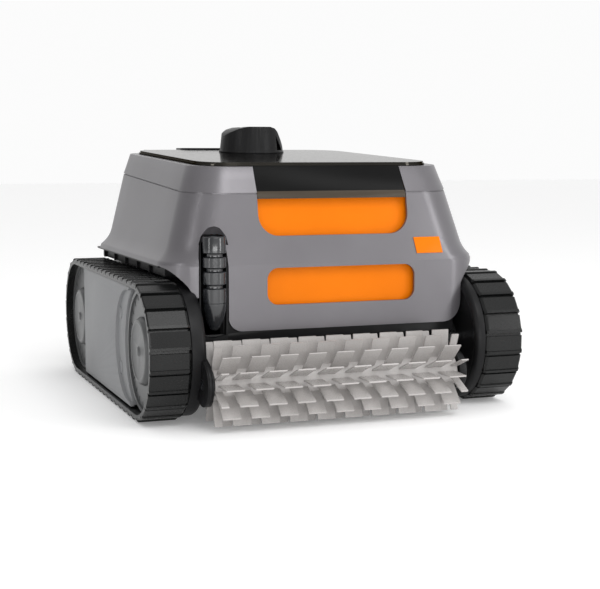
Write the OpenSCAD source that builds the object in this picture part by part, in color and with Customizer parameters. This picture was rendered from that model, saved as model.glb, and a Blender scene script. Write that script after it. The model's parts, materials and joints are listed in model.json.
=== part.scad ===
// Tracked pool-cleaning robot. Millimetres, +Z up, the front faces -Y.
// The origin is on the floor, at the middle of the overall footprint.

/* [Tracks] */
// Radius of a track around its wheels, over the ribs
track_r = 63; // [62:0.5:64]
// Distance between the front and rear wheel axles
wheelbase = 272.5; // [268:0.5:277]
// Width over both tracks
overall_w = 359; // [357:1:362]
// Width of one track belt
track_w = 37; // [36:0.5:38]
// Height of the ribs on the belt
rib_h = 2.4; // [1.5:0.1:3]
// Thickness of the belt under its ribs
belt_t = 4; // [3:0.5:4.5]

/* [Brush] */
// Outer radius of the brush over its blades
brush_r = 37.8; // [35:0.2:38]
// Length of the bladed part of the brush
brush_len = 232.4; // [228:0.2:232.4]
// Length of one blade along the brush
blade_w = 16.5; // [14:0.5:19]
// Distance from one blade to the next along a row
blade_pitch = 26.1; // [24:0.1:27]
// Thickness of one blade
blade_t = 1.3; // [1:0.1:1.8]
// Number of rows of blades around the brush
blade_rows = 16; // [12:2:18]

/* [Casing] */
// Width of the casing at its eave
eave_w = 311; // [305:1:315]
// Height of the eave above the floor
eave_z = 138.6; // [138:0.1:140]
// Height of the seam, above the origin
seam_z = 210.65; // [209:0.05:212]
// Height of the top rim, above the origin
rim_z = 232.7; // [232:0.1:234]
// Lowest edge of the front apron
apron_z = 80.6; // [79:0.1:82]
// Wall thickness of the casing
wall = 3; // [2.5:0.5:3]

/* [Nozzle] */
// Height of the water nozzle over the lid
nozzle_h = 26.5; // [22:0.5:28]
// Radius of the nozzle at the lid
nozzle_r = 34; // [33:0.5:35]

/* [Hidden] */
$fn = 64;

// A hair of overlap, so that cuts pass right through a face
over = 1;
// Gap between pieces that face each other but don't touch
gap = 0.3;

// Drive train
tooth_size = 2;
wheel_teeth = 44;
pinion_teeth = 12;
brush_teeth = 16;
brush_x0 = -126.5;
bracket_x0 = 106.5;
bracket_x1 = 113.5;
axle_r = 6;
run_fit = 0.05;
hold_fit = 0.02;
brush_z = 40.1;
gear_span = 4 * brush_teeth * tooth_size / 2;
brush_ahead = sqrt(gear_span * gear_span - (track_r - brush_z) * (track_r - brush_z));
rib_w = 3.2;
straight_ribs = 15;
arc_ribs = 10;
first_rib = 90 / arc_ribs;
track_reach = track_r * cos(first_rib) + rib_w / 2 * sin(first_rib);
overall_len = brush_r + brush_ahead + wheelbase + track_reach;
rear_y = overall_len / 2 - track_reach;
front_y = rear_y - wheelbase;
brush_y = front_y - brush_ahead;
idler_y = (front_y + brush_y) / 2;
idler_z = (track_r + brush_z) / 2;
train_angle = atan2(brush_z - track_r, brush_y - front_y);
pinion_y = rear_y - (wheel_teeth + pinion_teeth) * tooth_size / 2;

// Distances of the side pieces from the middle plane, from the inside out
chassis_x = 125;
boss_x = 127.7;
left_frame_x = 128;
right_frame_x = 132.6;
frame_t = 3;
arm_x0 = 129.4;
arm_x1 = 132.5;
arm_x2 = 133.5;
belt_x1 = overall_w / 2;
belt_x0 = belt_x1 - track_w;
wheel_x1 = belt_x1 - 7.5;
plate_x1 = belt_x1 - 3.2;
plate_t = 3.5;
plate_x0 = plate_x1 - plate_t;
gear_x0 = right_frame_x + frame_t + 1;
hub_x = gear_x0 - 0.2;
belt_in_r = track_r - rib_h - belt_t;
wheel_r = belt_in_r - 0.4;
cap_r = 31;
post_yz = [[-40, 37], [-40, 89], [60, 37], [60, 89]];

// Outlines of the casing: half width, front, rear, corner radius
eave = [eave_w / 2, -147.4, 169.8, 38];
brow = [eave_w / 2 - 8, -146, 163.4, 38];
seam = [131.7, -136.6, 155.7, 37.8];
rim = [124, -127.6, 154.5, 34];
lid = [115.3, -124.5, 151.4, 34.8];
brow_z = eave_z + 8.5;
seam_tilt = 3.12;
top_tilt = 2.52;
skin = 0.2;
lid_t = 3.2;
seam_front_z = seam_z + seam[1] * tan(seam_tilt);
front_slope = (seam[1] - brow[1]) / (seam_front_z - brow_z);

// Front apron and the arches at its two upper corners
apron_x1 = 132.3;
apron_r = 20;
apron_left_r = 13;
arch_r = 26;
arch_z = eave_z - arch_r - 0.5;

// Windows in the front of the casing
slot_x = [-62.9, 82.5];
slot_z = [103.1, 136.6];
slot_r = 10.5;
notch_x = [-69, 78];
notch_z = 165;
notch_r = 19;
grip_z = 198.3;

// Pump and nozzle
pump_y = 89.4;
duct_r = 32.5;
duct_t = 2.5;
lid_top_at_pump = rim_z + gap + lid_t / cos(top_tilt) + pump_y * tan(top_tilt);
nozzle_bore = 15;

// Lid hinge behind the rim
hinge_y = 160.4;
hinge_z = 238.2;
knuckle_r = 4.5;
hinge_pin_r = 2;
hinge_x = [66, 74, 92, 100];

// Cable boot at the front left
boot_x = -112.8;
boot_y = -148.6;
boot_r = 10.4;
boot_z0 = 82.2;
boot_z1 = 166.2;
cable_r = 4;
channel_w = 13.5;

// Filter canister
can_x = 94;
can_z0 = 97.6;
can_z1 = 213.6;
can_back = 29.4;
can_wall = 2.5;
can_front = [-140.6, -127.1];
screen_y = [-102.6, 7.4];
screen_z = [123.6, 197.6];
mouth_w = 120;
mouth_y = [-80.6, -50.6];
flap_y = -46.6;
flap_z = 104.6;
flap_r = 3;
flap_pin_r = 1.5;

// Motor block
motor_x = 58;
motor_y = [42, 144];
motor_z = [34, 128];
shaft_r = 4;

module along_x(x0, x1) {
  translate([x0, 0, 0]) rotate([90, 0, 90]) linear_extrude(x1 - x0) children();
}

module along_y(y0, y1) {
  translate([0, y1, 0]) rotate([90, 0, 0]) linear_extrude(y1 - y0) children();
}

// A disc or a tube along X, given by its distances from the middle plane
module disc_x(r, x0, x1, y, z) {
  along_x(x0, x1) translate([y, z]) circle(r);
}

// The right-hand shape for side 1, and its mirror image for side -1
module on_side(side) {
  if (side > 0) children();
  else mirror([1, 0, 0]) children();
}

// Rounded rectangle from half width, front, rear and corner radius
module outline(o, inset = 0) {
  w = o[0] - inset;
  f = o[1] + inset;
  b = o[2] - inset;
  r = o[3] - inset;
  union() {
    translate([-w, f + r]) square([2 * w, b - f - 2 * r]);
    translate([-w + r, f]) square([2 * w - 2 * r, b - f]);
    for (x = [-w + r, w - r], y = [f + r, b - r]) translate([x, y]) circle(r);
  }
}

// A thin tilted sheet of an outline, used as the end of a hull
module sheet(o, inset, z, tilt) {
  translate([0, 0, z]) rotate([tilt, 0, 0]) linear_extrude(skin) outline(o, inset, $fn = 48);
}

// Racetrack shape around both wheel axles
module track_shape(r) {
  union() {
    translate([front_y, track_r]) circle(r, $fn = 128);
    translate([rear_y, track_r]) circle(r, $fn = 128);
    translate([front_y, track_r - r]) square([wheelbase, 2 * r]);
  }
}

// Racetrack shape from the front axle to the brush axis
module arm_shape(r) {
  union() {
    translate([front_y, track_r]) circle(r);
    translate([brush_y, brush_z]) circle(r);
    translate([front_y, track_r]) rotate(train_angle) translate([0, -r]) square([gear_span, 2 * r]);
  }
}

// Spur gear with straight-sided teeth; the first tooth points along phase
module gear_shape(teeth, phase) {
  pitch_r = teeth * tooth_size / 2;
  root_r = pitch_r - 1.2 * tooth_size;
  tip_r = pitch_r + 0.75 * tooth_size;
  root_half = 0.78 * tooth_size;
  tip_half = 0.30 * tooth_size;
  union() {
    circle(root_r);
    for (i = [0 : teeth - 1])
      rotate(phase + i * 360 / teeth)
        polygon([[root_r - over, -root_half], [root_r, -root_half], [tip_r, -tip_half],
                 [tip_r, tip_half], [root_r, root_half], [root_r - over, root_half]]);
  }
}

// Box with four rounded edges along Y
module soft_slot(x0, x1, z0, z1, r) {
  union() {
    translate([x0 + r, z0]) square([x1 - x0 - 2 * r, z1 - z0]);
    translate([x0, z0 + r]) square([x1 - x0, z1 - z0 - 2 * r]);
    for (x = [x0 + r, x1 - r], z = [z0 + r, z1 - r]) translate([x, z]) circle(r);
  }
}

// ---- casing ----

module chassis() {
  top = eave_z - 0.1;
  shelf_z = track_r * 2 + 2.1;
  side_profile = [[-136, 34], [-127, 24], [156, 24], [169.4, 38], [169.4, top], [-107, top],
                  [-107, 94], [-143, 94], [-143, 72.6], [-136, 66]];
  cavity = [[-133, 35.5], [-126, 27], [155, 27], [166.4, 39.5], [166.4, 150], [-140, 150],
            [-140, 74.5], [-133, 67.5]];
  color("#202123") difference() {
    union() {
      difference() {
        along_x(-chassis_x, chassis_x) polygon(side_profile);
        along_x(-chassis_x + wall, chassis_x - wall) polygon(cavity);
      }
      for (side = [-1, 1]) on_side(side) {
        // shelf under the eave, with its row of small ribs
        translate([chassis_x, -107, shelf_z]) cube([22, 266, top - shelf_z]);
        translate([chassis_x, -107, top - 2]) cube([28.6, 266, 2]);
        for (y = [-60 : 50 : 140]) translate([chassis_x + 21, y, shelf_z]) cube([4, 2.4, top - shelf_z]);
        // cheeks behind the front corners
        translate([chassis_x - wall, -140, 92]) cube([wall, 40, top - 92]);
        for (y = [front_y, rear_y]) disc_x(13, 108, boss_x, y, track_r);
        disc_x(12, 116, chassis_x, pinion_y, track_r);
        for (p = post_yz) disc_x(6, 116, chassis_x, p[0], p[1]);
      }
    }
    for (side = [-1, 1]) on_side(side) {
      for (y = [front_y, rear_y]) disc_x(axle_r + hold_fit, 100, 130, y, track_r);
      disc_x(8 + hold_fit, 110, 130, pinion_y, track_r);
      for (p = post_yz) disc_x(2 + hold_fit, 117, 130, p[0], p[1]);
    }
    translate([-mouth_w / 2, mouth_y[0], 20]) cube([mouth_w, mouth_y[1] - mouth_y[0], 10]);
    // room for the cable boot and its bracket
    translate([boot_x, boot_y, boot_z0 - 4]) cylinder(r = boot_r + 1, h = 80);
    along_y(-148, -131) intersection() {
      boot_channel(0);
      translate([-140, 96.5]) square([60, 60]);
    }
  }
}

module shell() {
  color("#77757b") difference() {
    union() {
      difference() {
        union() {
          hull() {
            sheet(eave, 0, eave_z, 0);
            sheet(brow, 0, brow_z, 0);
          }
          hull() {
            sheet(brow, 0, brow_z, 0);
            sheet(seam, 0, seam_z - skin - 0.02, seam_tilt);
          }
        }
        hull() {
          sheet(eave, wall, eave_z - over, 0);
          sheet(brow, wall, brow_z, 0);
        }
        hull() {
          sheet(brow, wall, brow_z, 0);
          sheet(seam, wall, seam_z + over, seam_tilt);
        }
      }
      apron();
    }
    // upper window, open at the top for the grip of the lid
    along_y(-160, -100) soft_slot(notch_x[0], notch_x[1], notch_z, 245, notch_r);
    // lower window
    along_y(-160, -100) soft_slot(slot_x[0], slot_x[1], slot_z[0], slot_z[1], slot_r);
    // channel for the cable boot
    along_y(-170, -130) boot_channel(0.2);
    translate([boot_x, boot_y, boot_z1 - 4]) cylinder(r1 = 12, r2 = 4, h = 14);
  }
}

// Front wall below the eave; its corners end in an arch over each track
module apron() {
  apron_x0 = boot_x + channel_w;
  difference() {
    intersection() {
      translate([0, 0, apron_z]) linear_extrude(eave_z - apron_z) difference() {
        outline(eave);
        outline(eave, wall);
      }
      translate([-200, -200, 0]) cube([400, 200 + front_y, 200]);
      along_y(-200, 0) union() {
        soft_slot(0, apron_x1, apron_z, 200, apron_r);
        soft_slot(apron_x0, 40, apron_z, 200, apron_left_r);
        translate([-200, arch_z]) square([400, 100]);
      }
    }
    disc_x(arch_r, -200, apron_x0, front_y, arch_z);
    disc_x(arch_r, apron_x1, 200, front_y, arch_z);
    // room for the drums beside the tracks
    disc_x(track_r - 2.4, -200, -boss_x, front_y, track_r, $fn = 128);
    disc_x(track_r - 2.4, apron_x1, 200, front_y, track_r, $fn = 128);
  }
}

module boot_channel(extra) {
  half = channel_w + extra;
  top_half = half - 3.5;
  polygon([[boot_x - top_half, boot_z1 + 1], [boot_x - half, 135], [boot_x - half, 60],
           [boot_x + half, 60], [boot_x + half, 135], [boot_x + top_half, boot_z1 + 1]]);
}

module top_rim() {
  flange = 3;
  color("#7c7a80") difference() {
    union() {
      hull() {
        sheet(seam, 0, seam_z, seam_tilt);
        sheet(rim, 0, rim_z - skin, top_tilt);
      }
      for (side = [-1, 1]) on_side(side) {
        rim_knuckle(hinge_x[0], hinge_x[1] - 0.4);
        rim_knuckle(hinge_x[2] + 0.4, hinge_x[3]);
      }
    }
    hull() {
      sheet(seam, wall, seam_z - over, seam_tilt);
      sheet(rim, wall, rim_z - flange, top_tilt);
    }
    translate([0, 0, rim_z]) rotate([top_tilt, 0, 0]) translate([0, 0, -20])
      linear_extrude(60) outline([104, -114.6, 139.4, 26]);
    along_y(-160, -100) notch_shape(0);
    for (side = [-1, 1]) on_side(side)
      disc_x(hinge_pin_r + hold_fit, hinge_x[0] - over, hinge_x[3] + over, hinge_y, hinge_z);
  }
}

// The notch narrows towards the top
module notch_shape(inset) {
  x0 = notch_x[0] + inset;
  x1 = notch_x[1] - inset;
  polygon([[x0, 190], [x1, 190], [x1, 200], [x1 - 3.8, 228], [x1 - 3.8, 250],
           [x0 - 1, 250], [x0 - 1, 228]]);
}

module rim_knuckle(x0, x1) {
  along_x(x0, x1) union() {
    translate([hinge_y, hinge_z]) circle(knuckle_r);
    polygon([[152.4, 222.6], [hinge_y + knuckle_r - 1, 230.6], [hinge_y + knuckle_r, hinge_z],
             [hinge_y - knuckle_r, hinge_z], [152.4, 234.6]]);
  }
}

module lid_panel() {
  color("#8c8883", 0.9) difference() {
    union() {
      translate([0, 0, rim_z + gap]) rotate([top_tilt, 0, 0]) {
        linear_extrude(lid_t / 2) outline(lid);
        linear_extrude(lid_t) outline(lid, 1.2);
      }
      for (side = [-1, 1]) on_side(side) along_x(hinge_x[1], hinge_x[2]) union() {
        translate([hinge_y, hinge_z]) circle(knuckle_r - gap);
        polygon([[147.4, 240.2], [hinge_y, hinge_z + 1.8], [hinge_y, hinge_z + knuckle_r - gap],
                 [147.4, 242.4]]);
      }
    }
    translate([0, pump_y, 220]) cylinder(r = duct_r - 4, h = 45);
    for (side = [-1, 1]) on_side(side)
      disc_x(hinge_pin_r + run_fit, hinge_x[1] - over, hinge_x[2] + over, hinge_y, hinge_z);
  }
}

module lid_grip() {
  front = rim[1] - 0.3;
  back = rim[1] + 13;
  top = rim_z + gap - 0.05;
  color("#17181a") intersection() {
    along_x(-100, 100)
      polygon([[seam[1] - (seam_front_z - grip_z) * front_slope, grip_z],
               [seam[1] + 0.7, seam_front_z + 1.9],
               [front, top + front * tan(top_tilt)], [back, top + back * tan(top_tilt)],
               [back, 225.1], [front + 2.2, 224.1], [seam[1] + 3.5, grip_z]]);
    along_y(-160, -100) notch_shape(0.7);
  }
}

module outlet_nozzle() {
  color("#1d1e20") translate([0, pump_y, lid_top_at_pump]) difference() {
    union() {
      intersection() {
        translate([0.2, 0, 0]) union() {
          cylinder(r1 = nozzle_r, r2 = nozzle_r - 3, h = nozzle_h);
          translate([0, 0, -3]) cylinder(r = nozzle_r, h = 3.1);
        }
        along_y(-40, 40)
          polygon([[-36, -3], [-36, 12], [-32.6, 16.5], [-28.2, 20.5], [-21, nozzle_h - 2.3],
                   [-12, nozzle_h], [12, nozzle_h], [18, nozzle_h - 1.6], [21.8, nozzle_h - 5],
                   [34.5, 0], [36, 0], [36, -3]]);
      }
      translate([0.2, 0, 0]) rotate([top_tilt, 0, 0]) cylinder(r = nozzle_r + 0.6, h = 1.6);
    }
    translate([0, 0, -5]) cylinder(r = nozzle_bore, h = nozzle_h + 10);
    translate([0, 0, -3]) cylinder(r1 = 30, r2 = nozzle_bore, h = 12);
    along_y(-40, 40) polygon([[18.8, 17], [20, 2], [27.6, 2]]);
    rotate([top_tilt, 0, 0]) translate([-50, -50, -20]) cube([100, 100, 20]);
  }
}

module outlet_grille() {
  color("#2a2b2d") translate([0, pump_y, lid_top_at_pump + 19]) difference() {
    union() {
      difference() {
        cylinder(r = nozzle_bore - hold_fit, h = 2.4);
        translate([0, 0, -over]) cylinder(r = nozzle_bore - 2, h = 5);
      }
      for (a = [0 : 45 : 135]) rotate(a) translate([-nozzle_bore + 1, -0.8, 0])
        cube([2 * nozzle_bore - 2, 1.6, 2.4]);
      cylinder(r = 4, h = 2.4);
    }
  }
}

module hinge_pins() {
  color("#9a9da1") for (side = [-1, 1]) on_side(side)
    disc_x(hinge_pin_r, hinge_x[0] + 0.5, hinge_x[3] - 0.5, hinge_y, hinge_z);
}

module carry_handle() {
  color("#1b1c1e") difference() {
    union() {
      translate([0, 0, 241.1]) linear_extrude(3.6) difference() {
        outline([57, 156, 196.4, 12]);
        translate([-44, 164.4]) square([88, 22]);
      }
      translate([-57, 156, 219.6]) cube([114, 3.4, 23]);
    }
  }
}

module badge() {
  mid_z = 153.6;
  color("#f08a1c") translate([97, seam[1] - gap / 3 + (mid_z - seam_front_z) * front_slope, mid_z])
    rotate([-atan(front_slope), 0, 0]) translate([0, -0.9, 0]) rotate([90, 0, 0])
      translate([0, 0, -0.8]) linear_extrude(0.8)
        polygon([[-14.9, 7.6], [11.9, 7.6], [14.9, -7.6], [-11.9, -7.6]]);
}

module cable_bracket() {
  color("#1d1e20") difference() {
    along_y(-143.6, -131.6) boot_channel(-0.4);
    translate([boot_x, boot_y, 50]) cylinder(r = boot_r + 1.6, h = 130);
    translate([-150, -148, 50]) cube([80, 20, 46.6]);
  }
}

module cable_boot() {
  ring_z = [122.2, 136.9, 149.8];
  tip = 24;
  color("#2b2c2e") translate([boot_x, boot_y, 0]) difference() {
    union() {
      translate([0, 0, boot_z0 + tip]) cylinder(r = boot_r, h = boot_z1 - boot_z0 - tip);
      translate([0, 0, boot_z0 + 9]) cylinder(r1 = boot_r * 0.72, r2 = boot_r, h = tip - 9);
      translate([0, 0, boot_z0]) cylinder(r1 = 2.4, r2 = boot_r * 0.72, h = 9);
    }
    for (z = ring_z) translate([0, 0, z - 1.6]) difference() {
      cylinder(r = boot_r + over, h = 3.2);
      cylinder(r = 7.4, h = 3.2);
    }
    translate([0, 0, 106.2]) difference() {
      cylinder(r = boot_r + over, h = 0.8);
      cylinder(r = boot_r - 0.6, h = 0.8);
    }
    translate([0, 0, boot_z1 - 30]) cylinder(r = cable_r, h = 40);
  }
}

// ---- filter and intake ----

module canister_profile(inset) {
  f0 = can_front[0] + inset;
  f1 = can_front[1] + inset;
  polygon([[f0, can_z0 + inset], [f0, eave_z], [f1, can_z1 + (inset > 0 ? over : 0)],
           [can_back - inset, can_z1 + (inset > 0 ? over : 0)], [can_back - inset, can_z0 + inset]]);
}

module filter_canister() {
  lug_x = mouth_w / 2 - 1;
  color("#f07d10") difference() {
    union() {
      difference() {
        along_x(-can_x, can_x) canister_profile(0);
        along_x(-can_x + can_wall, can_x - can_wall) canister_profile(can_wall);
      }
      for (side = [-1, 1]) on_side(side) along_x(lug_x, lug_x + 4)
        translate([flap_y - 4, can_z0]) square([8, flap_z - can_z0 + 4]);
    }
    translate([-mouth_w / 2 + 6, mouth_y[0] + 4, can_z0 - over])
      cube([mouth_w - 12, mouth_y[1] - mouth_y[0] - 8, can_wall + 2]);
    for (side = [-1, 1]) on_side(side) along_x(can_x - 5, can_x + over) screen_shape(0);
    disc_x(flap_pin_r + hold_fit, -80, 80, flap_y, flap_z);
  }
}

module screen_shape(inset) {
  translate([screen_y[0] + inset, screen_z[0] + inset])
    square([screen_y[1] - screen_y[0] - 2 * inset, screen_z[1] - screen_z[0] - 2 * inset]);
}

module filter_screen(side) {
  color("#d9d6cf") on_side(side) difference() {
    along_x(can_x - 2, can_x - 0.8) screen_shape(gap);
    for (y = [0 : 5], z = [0 : 3])
      translate([can_x - 5, screen_y[0] + 6 + 18 * y, screen_z[0] + 5 + 17 * z]) cube([10, 12, 12]);
  }
}

module filter_handle() {
  color("#d96f0c") union() {
    translate([-can_x + 6, -58, can_z1 + 4]) cube([2 * can_x - 12, 24, 4]);
    for (side = [-1, 1]) on_side(side)
      translate([can_x - can_wall - 3.7, -58, can_z1 - 14]) cube([3.5, 24, 19]);
  }
}

module intake_throat() {
  color("#26272a") difference() {
    translate([-mouth_w / 2 - 3, mouth_y[0] - 3, 27.2])
      cube([mouth_w + 6, mouth_y[1] - mouth_y[0] + 6, can_z0 - 27.5]);
    translate([-mouth_w / 2, mouth_y[0], 20]) cube([mouth_w, mouth_y[1] - mouth_y[0], 90]);
  }
}

module intake_flap() {
  z = can_z0 + can_wall + gap;
  half = mouth_w / 2 - 2;
  color("#33353a") difference() {
    union() {
      translate([-half, mouth_y[0] + 1, z]) cube([2 * half, flap_y - mouth_y[0] - 2, 1.8]);
      disc_x(flap_r, -half, half, flap_y, flap_z);
      along_x(-half, half)
        polygon([[flap_y - 6, z], [flap_y - 6, z + 1.8], [flap_y, flap_z], [flap_y, flap_z - 2.5]]);
    }
    disc_x(flap_pin_r + run_fit, -70, 70, flap_y, flap_z);
  }
}

module flap_pin() {
  color("#9a9da1") disc_x(flap_pin_r, -mouth_w / 2 - 2.5, mouth_w / 2 + 2.5, flap_y, flap_z);
}

// ---- motor, pump and floats ----

module motor_block() {
  w = 2 * motor_x;
  d = motor_y[1] - motor_y[0];
  color("#3a3c40") difference() {
    union() {
      translate([-motor_x, motor_y[0], motor_z[0]]) cube([w, d, motor_z[1] - motor_z[0]]);
      translate([-motor_x - 4, motor_y[0] - 4, motor_z[1] - 8]) cube([w + 8, d + 8, 8]);
      for (x = [-50, 44], y = [motor_y[0] + 4, motor_y[1] - 10]) translate([x, y, 27]) cube([6, 6, 10]);
    }
    for (side = [-1, 1]) on_side(side) disc_x(shaft_r + run_fit, 48, 70, pinion_y, track_r);
    translate([0, pump_y, motor_z[1] - 12]) cylinder(r = 3 + run_fit, h = 30);
  }
}

module motor_cover() {
  color("#2c2e31") difference() {
    translate([-motor_x - 4, motor_y[0] - 4, motor_z[1]])
      cube([2 * motor_x + 8, motor_y[1] - motor_y[0] + 8, 4]);
    translate([0, pump_y, motor_z[1] - over]) cylinder(r = 3.4, h = 10);
  }
}

module pump_duct() {
  z0 = motor_z[1] + 4;
  z1 = rim_z + gap + (pump_y - duct_r) * tan(top_tilt) - 6;
  color("#2a2c2f") translate([0, pump_y, z0]) difference() {
    cylinder(r = duct_r + duct_t, h = z1 - z0);
    translate([0, 0, -over]) cylinder(r = duct_r, h = z1 - z0 + 2 * over);
    for (a = [45, 135]) rotate(a) translate([-50, -16, -over]) cube([100, 32, 22]);
  }
}

module duct_seal() {
  z1 = rim_z + gap + (pump_y - duct_r) * tan(top_tilt) - 6;
  color("#111213") translate([0, pump_y, z1]) difference() {
    cylinder(r = duct_r + duct_t, h = 3);
    translate([0, 0, -over]) cylinder(r = duct_r, h = 6);
  }
}

module propeller() {
  color("#e3861f") translate([0, pump_y, 164]) difference() {
    union() {
      cylinder(r = 8, h = 14);
      intersection() {
        translate([0, 0, -over]) cylinder(r = duct_r - 1.5, h = 20);
        for (a = [0 : 120 : 240]) rotate(a) translate([5, -9, 6]) rotate([28, 0, 0])
          translate([0, 0, -0.9]) cube([40, 18, 1.8]);
      }
    }
    translate([0, 0, -over]) cylinder(r = 3 + hold_fit, h = 12);
  }
}

module propeller_shaft() {
  color("#9a9da1") translate([0, pump_y, motor_z[1] - 10]) cylinder(r = 3, h = 174 - motor_z[1] + 10);
}

module float_blocks() {
  color("#d8d8d4") for (side = [-1, 1]) on_side(side)
    translate([112, -82.6, eave_z + 0.1]) cube([22, 195, 36]);
}

// ---- tracks and drive ----

// Inner face of the frame on each side
function frame_x(side) = side < 0 ? left_frame_x : right_frame_x;

// Plate and drum wall beside each track
module frame_plate(side) {
  x0 = frame_x(side);
  x1 = x0 + frame_t;
  difference() {
    union() {
      along_x(x0, x1) union() {
        track_shape(track_r - 3);
        if (side < 0) arm_shape(19.5);
      }
      along_x(x1, belt_x0 - 0.5) difference() {
        track_shape(track_r - 3);
        track_shape(track_r - 5.5);
      }
      for (p = post_yz) disc_x(7, chassis_x, x0, p[0], p[1]);
    }
    for (y = [front_y, rear_y]) disc_x(16, x0 - over, x1 + over, y, track_r);
    disc_x(shaft_r + 2, x0 - over, x1 + over, pinion_y, track_r);
    for (p = post_yz) disc_x(2 + hold_fit, chassis_x - over, x1 + over, p[0], p[1]);
  }
}

// The left frame reaches forward to carry the gear case and the brush
module side_frame(side) {
  color("#1e1f21") on_side(side) {
    if (side < 0) {
      difference() {
        frame_plate(side);
        along_x(arm_x0 - 0.1, arm_x2 + gap) arm_shape(19.5 + gap);
        disc_x(5 + run_fit, left_frame_x - over, arm_x2, brush_y, brush_z);
      }
      disc_x(3, left_frame_x, arm_x1, idler_y, idler_z);
    } else {
      frame_plate(side);
    }
  }
}

module frame_screws() {
  color("#8f9397") for (side = [-1, 1], p = post_yz) on_side(side) union() {
    disc_x(2, 118, frame_x(side) + frame_t, p[0], p[1]);
    disc_x(4, frame_x(side) + frame_t, frame_x(side) + frame_t + 2.6, p[0], p[1]);
  }
}

module track(side) {
  reach = track_r - belt_in_r - 1;
  color("#2e3032") on_side(side) along_x(belt_x0, belt_x1) difference() {
    union() {
      track_shape(track_r - rib_h);
      for (i = [0 : straight_ribs - 1], z = [0, 2 * track_r - reach])
        translate([front_y + (i + 0.5) * wheelbase / straight_ribs - rib_w / 2, z])
          square([rib_w, reach]);
      for (i = [0 : arc_ribs - 1]) {
        translate([rear_y, track_r]) rotate(-90 + (i + 0.5) * 180 / arc_ribs)
          translate([track_r - reach, -rib_w / 2]) square([reach, rib_w]);
        translate([front_y, track_r]) rotate(90 + (i + 0.5) * 180 / arc_ribs)
          translate([track_r - reach, -rib_w / 2]) square([reach, rib_w]);
      }
    }
    track_shape(belt_in_r);
  }
}

module wheel(y, hub_x, sleeve_x) {
  slots = 24;
  color("#6b6d70") difference() {
    union() {
      along_x(belt_x0 + 1, wheel_x1) translate([y, track_r]) difference() {
        circle(wheel_r, $fn = 128);
        circle(wheel_r - 3.2, $fn = 128);
      }
      disc_x(wheel_r - 2, wheel_x1 - 6, wheel_x1 - 2, y, track_r);
      disc_x(14, hub_x, wheel_x1 - 2, y, track_r);
      disc_x(11, sleeve_x, wheel_x1 - 2, y, track_r);
    }
    disc_x(axle_r + run_fit, 100, 190, y, track_r);
    for (i = [0 : slots - 1])
      along_x(wheel_x1 - 7, wheel_x1) translate([y, track_r]) rotate((i + 0.5) * 360 / slots)
        translate([wheel_r - 9, -0.9]) square([5.5, 1.8]);
  }
}

module hub_cap(y) {
  color("#66686b") translate([wheel_x1 - 2, y, track_r]) rotate([0, 90, 0]) rotate_extrude()
    polygon([[0, 3], [cap_r - 6, 3], [cap_r - 3, 0], [cap_r, 0], [cap_r, 1.5], [cap_r - 2.5, 5.4],
             [cap_r - 5, 5.8], [cap_r - 7, 4.8], [5, 4.8], [3.5, 6.2], [0, 6.6]]);
}

module axle_pins() {
  color("#a4a7ab") for (side = [-1, 1], y = [front_y, rear_y]) on_side(side)
    disc_x(axle_r, 109, wheel_x1 + 0.5, y, track_r);
}

module drive_gear(side) {
  color("#4a4c50") on_side(side) along_x(gear_x0, belt_x0 - 1)
    translate([rear_y, track_r]) difference() {
      gear_shape(wheel_teeth, 180);
      circle(14 + hold_fit);
      for (a = [30 : 60 : 330]) rotate(a) translate([27, 0]) circle(7);
    }
}

module drive_pinion(side) {
  color("#b9bcc0") on_side(side) union() {
    along_x(gear_x0 - 0.2, belt_x0 - 0.8) translate([pinion_y, track_r])
      gear_shape(pinion_teeth, 180 / pinion_teeth);
    disc_x(shaft_r, 50, gear_x0 + 1, pinion_y, track_r);
  }
}

module shaft_bushes() {
  color("#b98f3f") for (side = [-1, 1]) on_side(side) difference() {
    disc_x(8, 117, 127, pinion_y, track_r);
    disc_x(shaft_r + run_fit, 110, 130, pinion_y, track_r);
  }
}

// Outer cover between the wheels: flat, with a scoop that follows the front wheel
module side_plate(side) {
  top = belt_in_r - 1.6;
  rear_edge = rear_y - 33.5;
  scoop_y = front_y + 38;
  scoop_r = 51.7;
  front_r = 61.8;
  color("#7d7f82") on_side(side) union() {
    along_x(plate_x0, plate_x1) difference() {
      translate([front_y + 25, track_r - top]) square([rear_edge - front_y - 25, 2 * top]);
      translate([front_y, track_r]) circle(front_r, $fn = 128);
      translate([scoop_y, track_r]) circle(scoop_r, $fn = 128);
    }
    along_x(plate_x0 - 6, plate_x1 - 3.2) difference() {
      intersection() {
        translate([scoop_y, track_r]) circle(scoop_r + 3, $fn = 128);
        translate([front_y, track_r - top]) square([wheelbase, 2 * top]);
      }
      translate([front_y, track_r]) circle(front_r, $fn = 128);
    }
    for (p = post_yz) disc_x(6, frame_x(side) + frame_t + 3, plate_x0 + 1, p[0], p[1]);
  }
}

// ---- brush ----

module brush_core() {
  color("#3a3b3d") union() {
    disc_x(11, brush_x0, brush_x0 + brush_len, brush_y, brush_z);
    disc_x(5, -arm_x2 + 0.3, bracket_x1 - 0.3, brush_y, brush_z);
  }
}

module blade_star(phase) {
  union() {
    circle(14.5);
    for (i = [0 : blade_rows / 2 - 1]) rotate(phase + i * 720 / blade_rows)
      translate([12.5, -blade_t / 2]) square([brush_r - 12.5, blade_t]);
  }
}

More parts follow.
